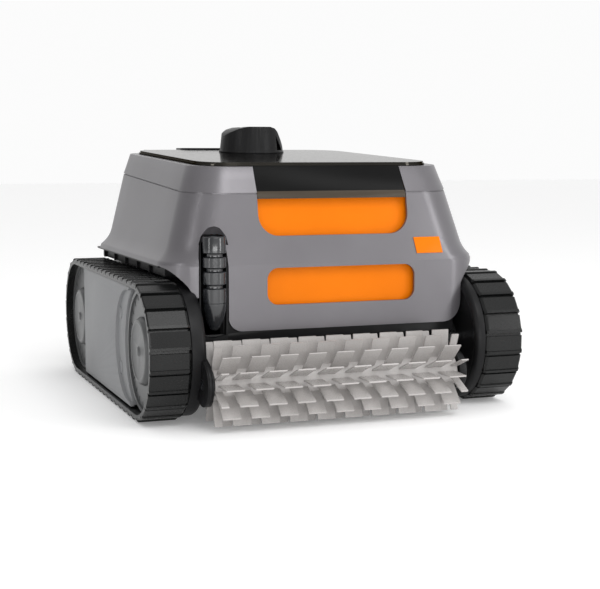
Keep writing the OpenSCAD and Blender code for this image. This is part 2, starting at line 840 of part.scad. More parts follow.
// Every second row is shifted by half a pitch, and its end blades are cut short
module brush_blades() {
  brush_x1 = brush_x0 + brush_len;
  count = floor((brush_len - blade_w) / blade_pitch);
  start = (brush_x0 + brush_x1 - count * blade_pitch - blade_w) / 2;
  color("#aba5a1") difference() {
    union() {
      disc_x(14.5, brush_x0 + 0.5, brush_x1 - 0.5, brush_y, brush_z);
      for (i = [0 : count]) along_x(start + i * blade_pitch, start + i * blade_pitch + blade_w)
        translate([brush_y, brush_z]) blade_star(0);
      for (i = [-0.5 : count + 0.5])
        along_x(max(brush_x0, start + i * blade_pitch), min(brush_x1, start + i * blade_pitch + blade_w))
          translate([brush_y, brush_z]) blade_star(360 / blade_rows);
    }
    disc_x(11 + hold_fit, brush_x0 - over, brush_x1 + over, brush_y, brush_z);
  }
}

module train_gear(y, z, phase, bore) {
  along_x(arm_x0 + 0.2, arm_x1 - 0.3) translate([y, z]) difference() {
    gear_shape(brush_teeth, phase);
    circle(bore);
  }
}

module brush_gear() {
  color("#4a4c50") on_side(-1)
    train_gear(brush_y, brush_z, train_angle + 180 + 180 / brush_teeth, 5 + hold_fit);
}

module brush_idler_gear() {
  color("#5a5c60") on_side(-1) train_gear(idler_y, idler_z, train_angle, 3 + run_fit);
}

module brush_drive_gear() {
  color("#4a4c50") on_side(-1)
    train_gear(front_y, track_r, train_angle + 180 / brush_teeth, axle_r + run_fit);
}

// Case of the brush gears, on the outer face of the left frame
module brush_arm_left() {
  color("#1b1c1e") on_side(-1) along_x(arm_x0, arm_x1) difference() {
    arm_shape(19.5);
    arm_shape(18.2);
  }
}

// Bracket from the front wall of the chassis to the right end of the brush
module brush_arm_right() {
  color("#1b1c1e") difference() {
    along_x(bracket_x0, bracket_x1) hull() {
      translate([brush_y, brush_z]) circle(17.5);
      translate([-143, 36]) square([7, 29]);
    }
    disc_x(5 + run_fit, bracket_x0 - over, bracket_x1 + over, brush_y, brush_z);
  }
}

module brush_arm_cover() {
  color("#1b1c1e") on_side(-1) difference() {
    along_x(arm_x1, arm_x2) arm_shape(19.5);
    disc_x(12, arm_x1 - over, arm_x2 + over, front_y, track_r);
    disc_x(5 + run_fit, arm_x1 - over, arm_x2 + over, brush_y, brush_z);
  }
}

chassis();
shell();
top_rim();
lid_panel();
lid_grip();
outlet_nozzle();
outlet_grille();
hinge_pins();
carry_handle();
badge();
cable_bracket();
cable_boot();
filter_canister();
filter_screen(-1);  // filter_screen_left
filter_screen(1);  // filter_screen_right
filter_handle();
intake_throat();
intake_flap();
flap_pin();
motor_block();
motor_cover();
pump_duct();
duct_seal();
propeller();
propeller_shaft();
float_blocks();
drive_pinion(-1);  // drive_pinion_left
drive_pinion(1);  // drive_pinion_right
shaft_bushes();
side_frame(-1);  // side_frame_left
side_frame(1);  // side_frame_right
track(-1);  // track_left
track(1);  // track_right
on_side(-1) wheel(front_y, arm_x2 + 0.8, arm_x1 - 0.3);  // front_wheel_left
on_side(1) wheel(front_y, hub_x, hub_x);  // front_wheel_right
on_side(-1) wheel(rear_y, hub_x, hub_x);  // rear_wheel_left
on_side(1) wheel(rear_y, hub_x, hub_x);  // rear_wheel_right
on_side(-1) hub_cap(front_y);  // hub_cap_front_left
on_side(1) hub_cap(front_y);  // hub_cap_front_right
on_side(-1) hub_cap(rear_y);  // hub_cap_rear_left
on_side(1) hub_cap(rear_y);  // hub_cap_rear_right
axle_pins();
drive_gear(-1);  // drive_gear_left
drive_gear(1);  // drive_gear_right
side_plate(-1);  // side_plate_left
side_plate(1);  // side_plate_right
frame_screws();
brush_core();
brush_blades();
brush_gear();
brush_idler_gear();
brush_drive_gear();
brush_arm_left();
brush_arm_right();
brush_arm_cover();
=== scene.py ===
"""Tracked pool cleaner: the looks, built around the CAD frame. Metres, +Z up, front towards -Y."""

import json
import math

import bmesh
import bpy
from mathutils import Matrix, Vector


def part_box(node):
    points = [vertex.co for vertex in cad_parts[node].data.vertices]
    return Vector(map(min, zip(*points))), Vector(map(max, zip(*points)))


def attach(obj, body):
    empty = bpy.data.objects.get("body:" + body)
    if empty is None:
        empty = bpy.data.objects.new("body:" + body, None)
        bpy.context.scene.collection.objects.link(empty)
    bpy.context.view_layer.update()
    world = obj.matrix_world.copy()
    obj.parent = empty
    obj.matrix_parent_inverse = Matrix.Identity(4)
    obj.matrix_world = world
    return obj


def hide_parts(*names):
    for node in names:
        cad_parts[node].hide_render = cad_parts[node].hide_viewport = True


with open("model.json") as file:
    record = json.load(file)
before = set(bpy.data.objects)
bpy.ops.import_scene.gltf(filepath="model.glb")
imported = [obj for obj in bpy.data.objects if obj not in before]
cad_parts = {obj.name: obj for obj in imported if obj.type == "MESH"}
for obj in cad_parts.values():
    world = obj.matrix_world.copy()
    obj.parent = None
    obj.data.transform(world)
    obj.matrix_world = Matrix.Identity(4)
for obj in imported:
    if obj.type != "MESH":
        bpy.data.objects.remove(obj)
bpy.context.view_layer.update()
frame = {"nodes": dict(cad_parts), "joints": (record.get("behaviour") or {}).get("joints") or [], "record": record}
nodes = frame["nodes"]
record = frame["record"]
body_of_node = {n: b for b, members in record["behaviour"]["bodies"].items() for n in members}
slot_of_node = {s["node"]: s["material_slot"] for s in record["subparts"]}
joint_place = {j["name"]: Vector(j["pos_m"]) * 1000 for j in frame["joints"]}

MM = 0.001

# Places read from the frame, in millimetres
front_y, wheel_z = joint_place["front_left_spin"][1:]
rear_y = joint_place["rear_left_spin"][1]
brush_y, brush_z = joint_place["brush_spin"][1:]
pinion_y = joint_place["pinion_left_spin"][1]
track_r = wheel_z


def node_box(name):
    """Lowest and highest corner of a CAD node, in millimetres."""
    return [Vector(corner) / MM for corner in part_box(name)]


# ---------------------------------------------------------------- camera, light and floor

CAMERA_PLACE = (-442.7, -1256.5, 239.6)
CAMERA_DOWN = 6.17
CAMERA_LEFT = 20.33
CAMERA_LENS = 78.74
FLOOR_SIZE = 9


def make_camera():
    data = bpy.data.cameras.new("camera")
    data.sensor_width = 36
    data.lens = CAMERA_LENS
    data.clip_start = 0.05
    data.clip_end = 20
    camera = bpy.data.objects.new("camera", data)
    camera.location = Vector(CAMERA_PLACE) * MM
    camera.rotation_euler = (math.radians(90 - CAMERA_DOWN), 0, math.radians(-CAMERA_LEFT))
    bpy.context.scene.collection.objects.link(camera)
    bpy.context.scene.camera = camera
    bpy.context.scene.view_settings.view_transform = "Standard"


def area_light(name, place, aim, size, power):
    """A rectangular lamp at a place, turned towards the point it aims at."""
    data = bpy.data.lights.new(name, "AREA")
    data.shape = "RECTANGLE"
    data.size, data.size_y = size
    data.energy = power
    lamp = bpy.data.objects.new(name, data)
    lamp.location = place
    lamp.rotation_euler = (Vector(aim) - Vector(place)).to_track_quat("-Z", "Y").to_euler()
    bpy.context.scene.collection.objects.link(lamp)


def make_stage():
    """White surroundings, four soft lamps and a plain floor."""
    world = bpy.data.worlds.new("studio")
    bpy.context.scene.world = world
    world.use_nodes = True
    tree = world.node_tree
    sky = tree.nodes["Background"]
    sky.inputs["Color"].default_value = (1, 1, 1, 1)
    # The left of the studio is dimmer, so the casing's side stands off from its front
    place = tree.nodes.new("ShaderNodeTexCoord")
    split = tree.nodes.new("ShaderNodeSeparateXYZ")
    dim = tree.nodes.new("ShaderNodeMapRange")
    dim.inputs["From Min"].default_value = -0.9
    dim.inputs["From Max"].default_value = 0.05
    dim.inputs["To Min"].default_value = 0.4
    dim.inputs["To Max"].default_value = 0.97
    tree.links.new(place.outputs["Generated"], split.inputs["Vector"])
    tree.links.new(split.outputs["X"], dim.inputs["Value"])
    tree.links.new(dim.outputs["Result"], sky.inputs["Strength"])
    area_light("key", (0.2, -1.6, 1.9), (0, 0, 0.1), (1.2, 0.9), 16)
    area_light("right_strip", (1.3, -1.5, 0.5), (0, 0, 0.12), (0.25, 1.3), 8)
    area_light("low_front", (-0.35, -1.9, 0.25), (0, -0.15, 0.05), (1.4, 0.25), 8)
    area_light("corner_strip", (-1.9, -0.85, 0.5), (0, -0.1, 0.12), (0.2, 1.3), 6)
    mesh = bpy.data.meshes.new("floor")
    corners = [(-1, -1), (1, -1), (1, 1), (-1, 1)]
    mesh.from_pydata([(x * FLOOR_SIZE, y * FLOOR_SIZE, 0) for x, y in corners], [], [(0, 1, 2, 3)])
    floor = bpy.data.objects.new("floor", mesh)
    bpy.context.scene.collection.objects.link(floor)
    paint = bpy.data.materials.new("floor_paint")
    paint.use_nodes = True
    shader = paint.node_tree.nodes["Principled BSDF"]
    shader.inputs["Base Color"].default_value = (0.93, 0.93, 0.93, 1)
    shader.inputs["Roughness"].default_value = 0.8
    shader.inputs["Emission Color"].default_value = (1, 1, 1, 1)
    shader.inputs["Emission Strength"].default_value = 0.14
    mesh.materials.append(paint)


# ---------------------------------------------------------------- materials

def finish_material(name, dark, light, rough, grain, bump, **settings):
    """A surface whose colour and roughness vary a little, lifted by a fine grain."""
    mat = bpy.data.materials.new(name)
    mat.use_nodes = True
    tree = mat.node_tree
    shader = tree.nodes["Principled BSDF"]
    for socket, value in settings.items():
        shader.inputs[socket.replace("_", " ")].default_value = value
    place = tree.nodes.new("ShaderNodeTexCoord")

    cloud = tree.nodes.new("ShaderNodeTexNoise")
    cloud.inputs["Scale"].default_value = 14
    cloud.inputs["Detail"].default_value = 3
    tree.links.new(place.outputs["Object"], cloud.inputs["Vector"])
    ramp = tree.nodes.new("ShaderNodeValToRGB")
    ramp.color_ramp.elements[0].position = 0.3
    ramp.color_ramp.elements[0].color = (*dark, 1)
    ramp.color_ramp.elements[1].position = 0.7
    ramp.color_ramp.elements[1].color = (*light, 1)
    tree.links.new(cloud.outputs["Fac"], ramp.inputs["Fac"])
    tree.links.new(ramp.outputs["Color"], shader.inputs["Base Color"])

    speck = tree.nodes.new("ShaderNodeTexNoise")
    speck.inputs["Scale"].default_value = 1 / (grain * MM)
    speck.inputs["Detail"].default_value = 2
    tree.links.new(place.outputs["Object"], speck.inputs["Vector"])
    span = tree.nodes.new("ShaderNodeMapRange")
    span.inputs["From Min"].default_value = 0.3
    span.inputs["From Max"].default_value = 0.7
    span.inputs["To Min"].default_value = rough[0]
    span.inputs["To Max"].default_value = rough[1]
    tree.links.new(speck.outputs["Fac"], span.inputs["Value"])
    tree.links.new(span.outputs["Result"], shader.inputs["Roughness"])

    lift = tree.nodes.new("ShaderNodeBump")
    lift.inputs["Strength"].default_value = bump
    lift.inputs["Distance"].default_value = 0.1 * MM
    tree.links.new(speck.outputs["Fac"], lift.inputs["Height"])
    tree.links.new(lift.outputs["Normal"], shader.inputs["Normal"])
    return mat


def make_materials():
    """One finish for each slot, and one for the strip under the lid's lip."""
    m = {}
    m["black_plastic"] = finish_material(
        "black_plastic", (0.005, 0.005, 0.0055), (0.008, 0.008, 0.0085), (0.34, 0.44), 0.5, 0.2,
        Specular_IOR_Level=0.18)
    m["lid_black"] = finish_material(
        "lid_black", (0.006, 0.006, 0.006), (0.008, 0.008, 0.008), (0.28, 0.34), 1.2, 0.04,
        Specular_IOR_Level=0.06)
    m["casing_grey"] = finish_material(
        "casing_grey", (0.135, 0.129, 0.138), (0.152, 0.146, 0.156), (0.3, 0.38), 0.35, 0.1,
        Metallic=0.55, Coat_Weight=0.12, Coat_Roughness=0.25)
    m["smoked_lid"] = finish_material(
        "smoked_lid", (0.028, 0.026, 0.023), (0.034, 0.032, 0.028), (0.1, 0.14), 3, 0.01,
        Metallic=1.0, Specular_Tint=(0.40, 0.392, 0.38, 1))
    m["smoked_strip"] = finish_material(
        "smoked_strip", (0.045, 0.035, 0.025), (0.055, 0.044, 0.031), (0.3, 0.36), 3, 0.01,
        Specular_IOR_Level=0.15)
    m["orange_plastic"] = finish_material(
        "orange_plastic", (0.67, 0.150, 0.001), (0.73, 0.166, 0.002), (0.3, 0.38), 1.5, 0.03,
        Specular_IOR_Level=0.08)
    m["track_rubber"] = finish_material(
        "track_rubber", (0.003, 0.0032, 0.0032), (0.006, 0.0063, 0.0063), (0.24, 0.32), 0.6, 0.12,
        Specular_IOR_Level=0.3)
    m["seal_rubber"] = finish_material(
        "seal_rubber", (0.010, 0.010, 0.010), (0.015, 0.015, 0.015), (0.6, 0.7), 0.6, 0.3)
    m["wheel_grey"] = finish_material(
        "wheel_grey", (0.078, 0.080, 0.081), (0.095, 0.097, 0.098), (0.3, 0.4), 0.5, 0.2,
        Specular_IOR_Level=0.35)
    m["plate_grey"] = finish_material(
        "plate_grey", (0.205, 0.208, 0.213), (0.225, 0.228, 0.234), (0.45, 0.55), 0.45, 0.2,
        Specular_IOR_Level=0.35)
    m["gear_plastic"] = finish_material(
        "gear_plastic", (0.010, 0.011, 0.013), (0.017, 0.018, 0.020), (0.16, 0.22), 0.6, 0.05,
        Specular_IOR_Level=0.75)
    m["steel"] = finish_material(
        "steel", (0.50, 0.51, 0.52), (0.58, 0.59, 0.60), (0.22, 0.34), 0.3, 0.1, Metallic=1.0)
    m["bronze"] = finish_material(
        "bronze", (0.48, 0.32, 0.13), (0.56, 0.38, 0.16), (0.3, 0.42), 0.3, 0.15, Metallic=1.0)
    m["brush_rubber"] = finish_material(
        "brush_rubber", (0.34, 0.323, 0.313), (0.42, 0.403, 0.393), (0.24, 0.34), 0.8, 0.12)
    m["screen_mesh"] = finish_material(
        "screen_mesh", (0.66, 0.63, 0.58), (0.74, 0.71, 0.66), (0.55, 0.7), 0.5, 0.5)
    m["foam"] = finish_material(
        "foam", (0.68, 0.68, 0.65), (0.76, 0.76, 0.73), (0.75, 0.9), 1.2, 0.8)
    return m


make_camera()
make_stage()
materials = make_materials()


# ---------------------------------------------------------------- mesh helpers

def mesh_from(name, points, faces):
    """A mesh from points in millimetres, with its normals turned outwards."""
    mesh = bpy.data.meshes.new(name)
    mesh.from_pydata([Vector(p) * MM for p in points], [], faces)
    bm = bmesh.new()
    bm.from_mesh(mesh)
    bmesh.ops.recalc_face_normals(bm, faces=bm.faces)
    bm.to_mesh(mesh)
    bm.free()
    return mesh


def loft(name, rings, closed=False):
    """Skins equal rings of points one after another. An open loft gets a cap at each end."""
    count = len(rings[0])
    points = [p for ring in rings for p in ring]
    faces = []
    spans = len(rings) if closed else len(rings) - 1
    for r in range(spans):
        a, b = r * count, (r + 1) % len(rings) * count
        for i in range(count):
            j = (i + 1) % count
            faces.append((a + i, a + j, b + j, b + i))
    if not closed:
        faces.append(tuple(range(count)))
        faces.append(tuple(range((len(rings) - 1) * count, len(rings) * count)))
    return mesh_from(name, points, faces)


def prism(name, outline, low, high, axis):
    """A flat outline pulled from low to high along X, Y or Z."""
    rings = []
    for c in (low, high):
        if axis == "x":
            rings.append([(c, a, b) for a, b in outline])
        elif axis == "y":
            rings.append([(a, c, b) for a, b in outline])
        else:
            rings.append([(a, b, c) for a, b in outline])
    return loft(name, rings)


def rectangle(x0, x1, y0, y1):
    return [(x0, y0), (x1, y0), (x1, y1), (x0, y1)]


def lathe(name, profile, centre, axis="z", steps=64):
    """Turns a profile of (radius, height) points around an axis through centre."""
    rings = []
    for i in range(steps):
        turn = 2 * math.pi * i / steps
        ring = []
        for r, h in profile:
            a, b = r * math.cos(turn), r * math.sin(turn)
            spot = (a, b, h) if axis == "z" else (h, a, b)
            ring.append(Vector(spot) + Vector(centre))
        rings.append(ring)
    return welded(loft(name, rings, closed=True))


def welded(mesh, distance=0.002):
    """Joins the points of a mesh that lie on one another."""
    bm = bmesh.new()
    bm.from_mesh(mesh)
    bmesh.ops.remove_doubles(bm, verts=bm.verts, dist=distance * MM)
    bmesh.ops.recalc_face_normals(bm, faces=bm.faces)
    bm.to_mesh(mesh)
    bm.free()
    return mesh


def combine(mesh, tools, operation="DIFFERENCE"):
    """Cuts the tool meshes out of a mesh, or joins them to it, with exact booleans."""
    base = bpy.data.objects.new("combine_base", mesh)
    bpy.context.scene.collection.objects.link(base)
    helpers = []
    for tool in tools:
        helper = bpy.data.objects.new("combine_tool", tool)
        bpy.context.scene.collection.objects.link(helper)
        helpers.append(helper)
        step = base.modifiers.new("combine", "BOOLEAN")
        step.operation = operation
        step.solver = "EXACT"
        step.object = helper
    depsgraph = bpy.context.evaluated_depsgraph_get()
    result = bpy.data.meshes.new_from_object(base.evaluated_get(depsgraph))
    result.name = mesh.name
    for item in [base] + helpers:
        bpy.data.objects.remove(item)
    return result


def rounded_box(x0, x1, z0, z1, radii, steps=10):
    """Outline of a rectangle with its own radius at each corner, from the lower left round."""
    corners = [(x0, z0, 180), (x1, z0, 270), (x1, z1, 0), (x0, z1, 90)]
    points = []
    for (x, z, start), r in zip(corners, radii):
        cx = x + r if x == x0 else x - r
        cz = z + r if z == z0 else z - r
        for i in range(steps + 1):
            turn = math.radians(start + 90 * i / steps)
            points.append((cx + r * math.cos(turn), cz + r * math.sin(turn)))
    return points


def casing_ring(outline, z, tilt=0.0, inset=0.0, steps=14, sides=6):
    """Points of a rounded rectangle (half width, front, rear, radius) on a plane tilted along Y."""
    half, front, rear, radius = outline
    half, front, rear, radius = half - inset, front + inset, rear - inset, radius - inset
    points = []
    corners = [(-half + radius, front + radius, 180), (half - radius, front + radius, 270),
               (half - radius, rear - radius, 0), (-half + radius, rear - radius, 90)]
    for n, (cx, cy, start) in enumerate(corners):
        for i in range(steps + 1):
            turn = math.radians(start + 90 * i / steps)
            points.append((cx + radius * math.cos(turn), cy + radius * math.sin(turn)))
        ahead = corners[(n + 1) % 4]
        turn = math.radians(start + 90)
        last = Vector(points[-1])
        first = Vector((ahead[0] + radius * math.cos(turn), ahead[1] + radius * math.sin(turn)))
        points += [tuple(last.lerp(first, i / sides)) for i in range(1, sides)]
    return [(x, y, z + y * math.tan(math.radians(tilt))) for x, y in points]


def add_piece(name, mesh, slot, body, *stands_for):
    """Puts a mesh in the scene with its slot's finish, on a body, in place of any CAD nodes named."""
    piece = bpy.data.objects.new(name, mesh)
    bpy.context.scene.collection.objects.link(piece)
    mesh.materials.clear()
    mesh.materials.append(materials[slot])
    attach(piece, body)
    if stands_for:
        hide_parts(*stands_for)
    return piece


def round_edges(piece, width, segments=2, sharp=30):
    """Rounds the edges that bend by more than sharp degrees."""
    piece.data.shade_smooth()
    rounding = piece.modifiers.new("rounding", "BEVEL")
    rounding.width = width * MM
    rounding.segments = segments
    rounding.limit_method = "ANGLE"
    rounding.angle_limit = math.radians(sharp)
    rounding.harden_normals = True
    rounding.use_clamp_overlap = True
    rounding.miter_outer = "MITER_ARC"


def replace_node(node, mesh, width=0.0, sharp=30):
    """A mesh of its own that stands for one CAD node, on the same body and with the same finish."""
    piece = add_piece(node + "_skin", mesh, slot_of_node[node], body_of_node[node], node)
    if width:
        round_edges(piece, width, sharp=sharp)
    return piece


def soften(node, width):
    """A copy of a CAD node with its flat faces made whole and its edges rounded."""
    bm = bmesh.new()
    bm.from_mesh(nodes[node].data)
    bmesh.ops.remove_doubles(bm, verts=bm.verts, dist=0.005 * MM)
    bmesh.ops.dissolve_limit(bm, angle_limit=math.radians(0.4), verts=bm.verts, edges=bm.edges)
    mesh = bpy.data.meshes.new(node + "_soft")
    bm.to_mesh(mesh)
    bm.free()
    return replace_node(node, mesh, width)


# ---------------------------------------------------------------- casing

shell_low, shell_high = node_box("shell")
bracket_low, bracket_high = node_box("cable_bracket")
boot_low, boot_high = node_box("cable_boot")
chassis_high = node_box("chassis")[1]

EAVE_Z = chassis_high[2] + 0.1
EAVE = (shell_high[0], shell_low[1], shell_high[1], 38)
BROW = (EAVE[0] - 8, EAVE[1] + 1.4, EAVE[2] - 6.4, 38)
BROW_RISE = 8.5
SEAM = (131.7, EAVE[1] + 10.8, EAVE[2] - 14.1, 37.8)
RIM = (124, EAVE[1] + 19.8, EAVE[2] - 15.3, 34)
SEAM_TILT = 3.12
TOP_TILT = 2.52
SEAM_Z = 210.65
RIM_Z = 232.7
WALL = 3
GROOVE = 0.7
GROOVE_DEPTH = 1.3
FLARE_HEIGHT = 20.0
FLARE_FLAT = 0.2

# Openings in the front, as distances along X and Z
NOTCH_X = (-69, 78)
NOTCH_LOW = 165
NOTCH_R = 19
STRIP_TOP = 205
SLOT_X = (-62.9, 82.5)
SLOT_Z = (103.1, 136.6)
SLOT_R = 10.5
CHANNEL_HALF = 13.5
CHANNEL_LOW = 72.7
CHANNEL_TOP = 167.2
APRON_LOW = 80.6
APRON_RIGHT = 132.3
ARCH_R = 26

# Reach of the tools that cut through the front wall, along Y
CUT_NEAR = -170
CUT_FAR = -100

boot_x = (boot_low[0] + boot_high[0]) / 2
boot_y = (boot_low[1] + boot_high[1]) / 2


def flare(share):
    """How much of the eave's flare is left at a share of its height, 0 to 1."""
    if share < FLARE_FLAT:
        return 1.0
    return max(0.0, 1 - (share - FLARE_FLAT) / (1 - FLARE_FLAT)) ** 2.2


def casing_wall(inset, top_inset, low_z):
    """Rings of the casing from the eave up to the seam: a curved flare, then a straight wall."""
    eave = casing_ring(EAVE, EAVE_Z, 0, inset)
    brow = casing_ring(BROW, EAVE_Z + BROW_RISE, 0, inset)
    seam = casing_ring(SEAM, SEAM_Z, SEAM_TILT, inset)
    rise_span = SEAM_Z - EAVE_Z - BROW_RISE
    foot_rise = -BROW_RISE / rise_span
    rings = []
    heights = [0, 0.8, 2, 3.2, 4, 4.8, 5.8, 7, 8.5, 10.5, 13, 16, FLARE_HEIGHT]
    for height in heights:
        rise = (height - BROW_RISE) / rise_span
        keep = flare(height / FLARE_HEIGHT)
        ring = []
        for e, b, s in zip(eave, brow, seam):
            straight = Vector(b).lerp(Vector(s), rise)
            foot = Vector(b).lerp(Vector(s), foot_rise)
            out = (Vector(e) - foot) * keep
            ring.append((straight.x + out.x, straight.y + out.y, EAVE_Z + height))
        rings.append(ring)
    rings[0] = [(x, y, low_z) for x, y, z in rings[0]]
    base = rings[-1]
    top = [(x, y, z - GROOVE) for x, y, z in seam]
    for share in (0.25, 0.5, 0.75, 1.0):
        rings.append([Vector(a).lerp(Vector(b), share) for a, b in zip(base, top)])
    ledge = casing_ring(SEAM, SEAM_Z - GROOVE, SEAM_TILT, inset + top_inset)
    if top_inset:
        rings.append(ledge)
    rings.append(casing_ring(SEAM, SEAM_Z - 0.02, SEAM_TILT, inset + top_inset))
    return rings


def window_cutters():
    """Tools for the notch, the lower window, the boot's channel and the dish above the boot."""
    left, right = NOTCH_X
    notch = rounded_box(left, right, NOTCH_LOW, STRIP_TOP, (NOTCH_R, NOTCH_R, 0.5, 0.5))
    upper = [(left, STRIP_TOP - 1), (right, STRIP_TOP - 1), (right - 0.4, STRIP_TOP + 1),
             (right - 3.8, 228), (right - 3.8, 260), (left - 1, 260), (left - 1, 228)]
    slot = rounded_box(*SLOT_X, *SLOT_Z, (SLOT_R, SLOT_R, SLOT_R, SLOT_R))
    dish = [(0, -8), (15, -8), (13.6, 0), (10, 7), (5, 11.5), (0, 13)]
    return {
        "notch": prism("notch", notch, CUT_NEAR, CUT_FAR, "y"),
        "notch_top": prism("notch_top", upper, CUT_NEAR, CUT_FAR, "y"),
        "slot": prism("slot", slot, CUT_NEAR, CUT_FAR, "y"),
        "channel": prism("channel", channel_outline(0.2), CUT_NEAR, -130, "y"),
        "scoop": lathe("scoop", dish, (boot_x, boot_y, CHANNEL_TOP - 1)),
    }


def channel_outline(extra):
    """The black channel behind the boot: straight sides that close in towards the top."""
    half = CHANNEL_HALF + extra
    top = CHANNEL_TOP + extra
    bend_z = 132
    top_half = 7.5
    steps = 12
    left, right = [], []
    for i in range(steps + 1):
        turn = i / steps * math.pi / 2
        z = bend_z + (top - bend_z) * math.sin(turn)
        width = half - (half - top_half) * (1 - math.cos(turn)) ** 0.9
        left.append((boot_x - width, z))
        right.append((boot_x + width, z))
    return [(boot_x - half, CHANNEL_LOW), (boot_x + half, CHANNEL_LOW)] + right + left[::-1]


def make_shell():
    """The casing below the seam with its apron, and a block behind the dish above the boot."""
    outer = casing_wall(0, GROOVE_DEPTH, EAVE_Z)
    inner = casing_wall(WALL, 0, EAVE_Z)
    mesh = loft("shell_body", outer + inner[::-1], closed=True)
    apron = make_apron()
    cutters = window_cutters()
    backing = prism("backing", rectangle(boot_x - 16, boot_x + 16, -140, -124), 167, 184, "z")
    solid = loft("casing_solid", casing_wall(0, 0, EAVE_Z))
    backing = combine(backing, [solid], "INTERSECT")
    mesh = combine(mesh, [apron, backing], "UNION")
    mesh = combine(mesh, list(cutters.values()))
    return replace_node("shell", mesh, 0.5, sharp=34)


def make_apron():
    """Front wall below the eave, with an arch at each upper corner and rounded lower corners."""
    ring_out = casing_ring(EAVE, 0)
    ring_in = casing_ring(EAVE, 0, 0, WALL)
    top = EAVE_Z + 1.2
    rings = [[(x, y, top) for x, y, z in ring_out], [(x, y, APRON_LOW) for x, y, z in ring_out],
             [(x, y, APRON_LOW) for x, y, z in ring_in], [(x, y, top) for x, y, z in ring_in]]
    wall = loft("apron_wall", rings, closed=True)
    arch_z = EAVE_Z - ARCH_R - 0.5
    left = boot_x + CHANNEL_HALF
    face = rounded_box(left, APRON_RIGHT, APRON_LOW, 200, (13, 20, 0.5, 0.5))
    front = prism("apron_front", face, -200, front_y, "y")
    shoulder = prism("apron_shoulder", rectangle(-200, 200, arch_z, 200), -200, front_y, "y")
    keep = combine(front, [shoulder], "UNION")
    wall = combine(wall, [keep], "INTERSECT")
    turns = [math.radians(a) for a in range(0, 181, 6)]
    arch = [(front_y + ARCH_R * math.cos(a), arch_z + ARCH_R * math.sin(a)) for a in turns]
    arch += [(front_y - ARCH_R, 40), (front_y + ARCH_R, 40)]
    return combine(wall, [prism("arch_left", arch, -200, left, "x"),
                          prism("arch_right", arch, APRON_RIGHT, 200, "x")])


def make_top_rim():
    """The ring between the seam and the lid, with the lid's opening and the hinge eyes."""
    seam_out = casing_ring(SEAM, SEAM_Z, SEAM_TILT)
    rim_out = casing_ring(RIM, RIM_Z - 0.2, TOP_TILT)
    low_edge = casing_ring(SEAM, SEAM_Z + 0.02, SEAM_TILT, GROOVE_DEPTH)
    low_in = casing_ring(SEAM, SEAM_Z + 0.02, SEAM_TILT, WALL)
    rim_lip = casing_ring(RIM, RIM_Z, TOP_TILT, 0.2)
    hole = (104, EAVE[1] + 32.8, EAVE[2] - 30.4, 26)
    hole_top = casing_ring(hole, RIM_Z, TOP_TILT)
    hole_low = casing_ring(hole, RIM_Z - 3, TOP_TILT)
    wall_top = casing_ring(RIM, RIM_Z - 3.2, TOP_TILT, WALL)
    middle = [Vector(a).lerp(Vector(b), 0.5) for a, b in zip(seam_out, rim_out)]
    rings = [low_in, low_edge, [(x, y, z + GROOVE) for x, y, z in low_edge],
             [(x, y, z + GROOVE) for x, y, z in seam_out], middle, rim_out, rim_lip,
             hole_top, hole_low, wall_top]
    mesh = loft("rim_body", rings, closed=True)
    cutters = window_cutters()
    mesh = combine(mesh, [cutters["notch"], cutters["notch_top"]])
    knuckles = hinge_knuckles()
    mesh = combine(mesh, knuckles, "UNION")
    return replace_node("top_rim", mesh, 0.4, sharp=34)


def hinge_knuckles():
    """The two pairs of hinge eyes behind the rim."""
    hinge_y, hinge_z = joint_place["lid_hinge"][1:]
    r = 4.5
    turns = [math.radians(a) for a in range(0, 181, 12)]
    round_part = [(hinge_y + r * math.cos(a), hinge_z + r * math.sin(a)) for a in turns]
    outline = round_part + [(152.4, 234.6), (152.4, 222.6), (hinge_y + r - 1, 230.6)]
    spans = [(66, 73.6), (92.4, 100), (-73.6, -66), (-100, -92.4)]
    return [prism("knuckle", outline, low, high, "x") for low, high in spans]


# ---------------------------------------------------------------- boot and its channel

def make_boot():
    """The cable boot: a rounded foot, three deep grooves and a bore for the cable."""
    low, high = boot_low[2], boot_high[2]
    r = (boot_high[0] - boot_low[0]) / 2 - 0.02
    profile = [(0, low)]
    for i in range(1, 9):
        share = i / 8
        reach = math.sin(share * math.pi / 2) ** 0.9
        profile.append((2.2 + (r - 2.2) * reach, low + 26 * share ** 1.25))
    profile += [(r, 105.6), (r - 0.5, 105.9), (r - 0.5, 106.7), (r, 107.0)]
    for groove_z in (122.2, 136.9, 149.8):
        profile += [(r, groove_z - 2.3), (r - 0.6, groove_z - 1.7), (7.6, groove_z - 1.3),
                    (7.4, groove_z),
                    (7.6, groove_z + 1.3), (r - 0.6, groove_z + 1.7), (r, groove_z + 2.3)]
    profile += [(r, high - 0.9), (r - 0.3, high - 0.3), (r - 0.9, high),
                (4.6, high), (4, high - 0.6), (4, high - 30), (0, high - 30)]
    mesh = lathe("boot", profile, (boot_x, boot_y, 0))
    piece = replace_node("cable_boot", mesh)
    round_edges(piece, 0.15, segments=1, sharp=40)
    return piece


def make_bracket():
    """The dished channel that holds the boot."""
    back, face = bracket_high[1], bracket_low[1] - 2.6
    plate = prism("bracket_plate", channel_outline(-0.4), face, back, "y")
    dish = [(0, 75), (11.6, 78), (12, 100), (12, 160), (9, 168), (0, 176)]
    hollow = lathe("bracket_hollow", dish, (boot_x, boot_y, 0))
    chassis_room = prism("chassis_room", rectangle(-150, -60, 40, 94.6), -143.2, -120, "y")
    mesh = combine(plate, [hollow, chassis_room])
    return replace_node("cable_bracket", mesh, 0.5)


# ---------------------------------------------------------------- filter canister

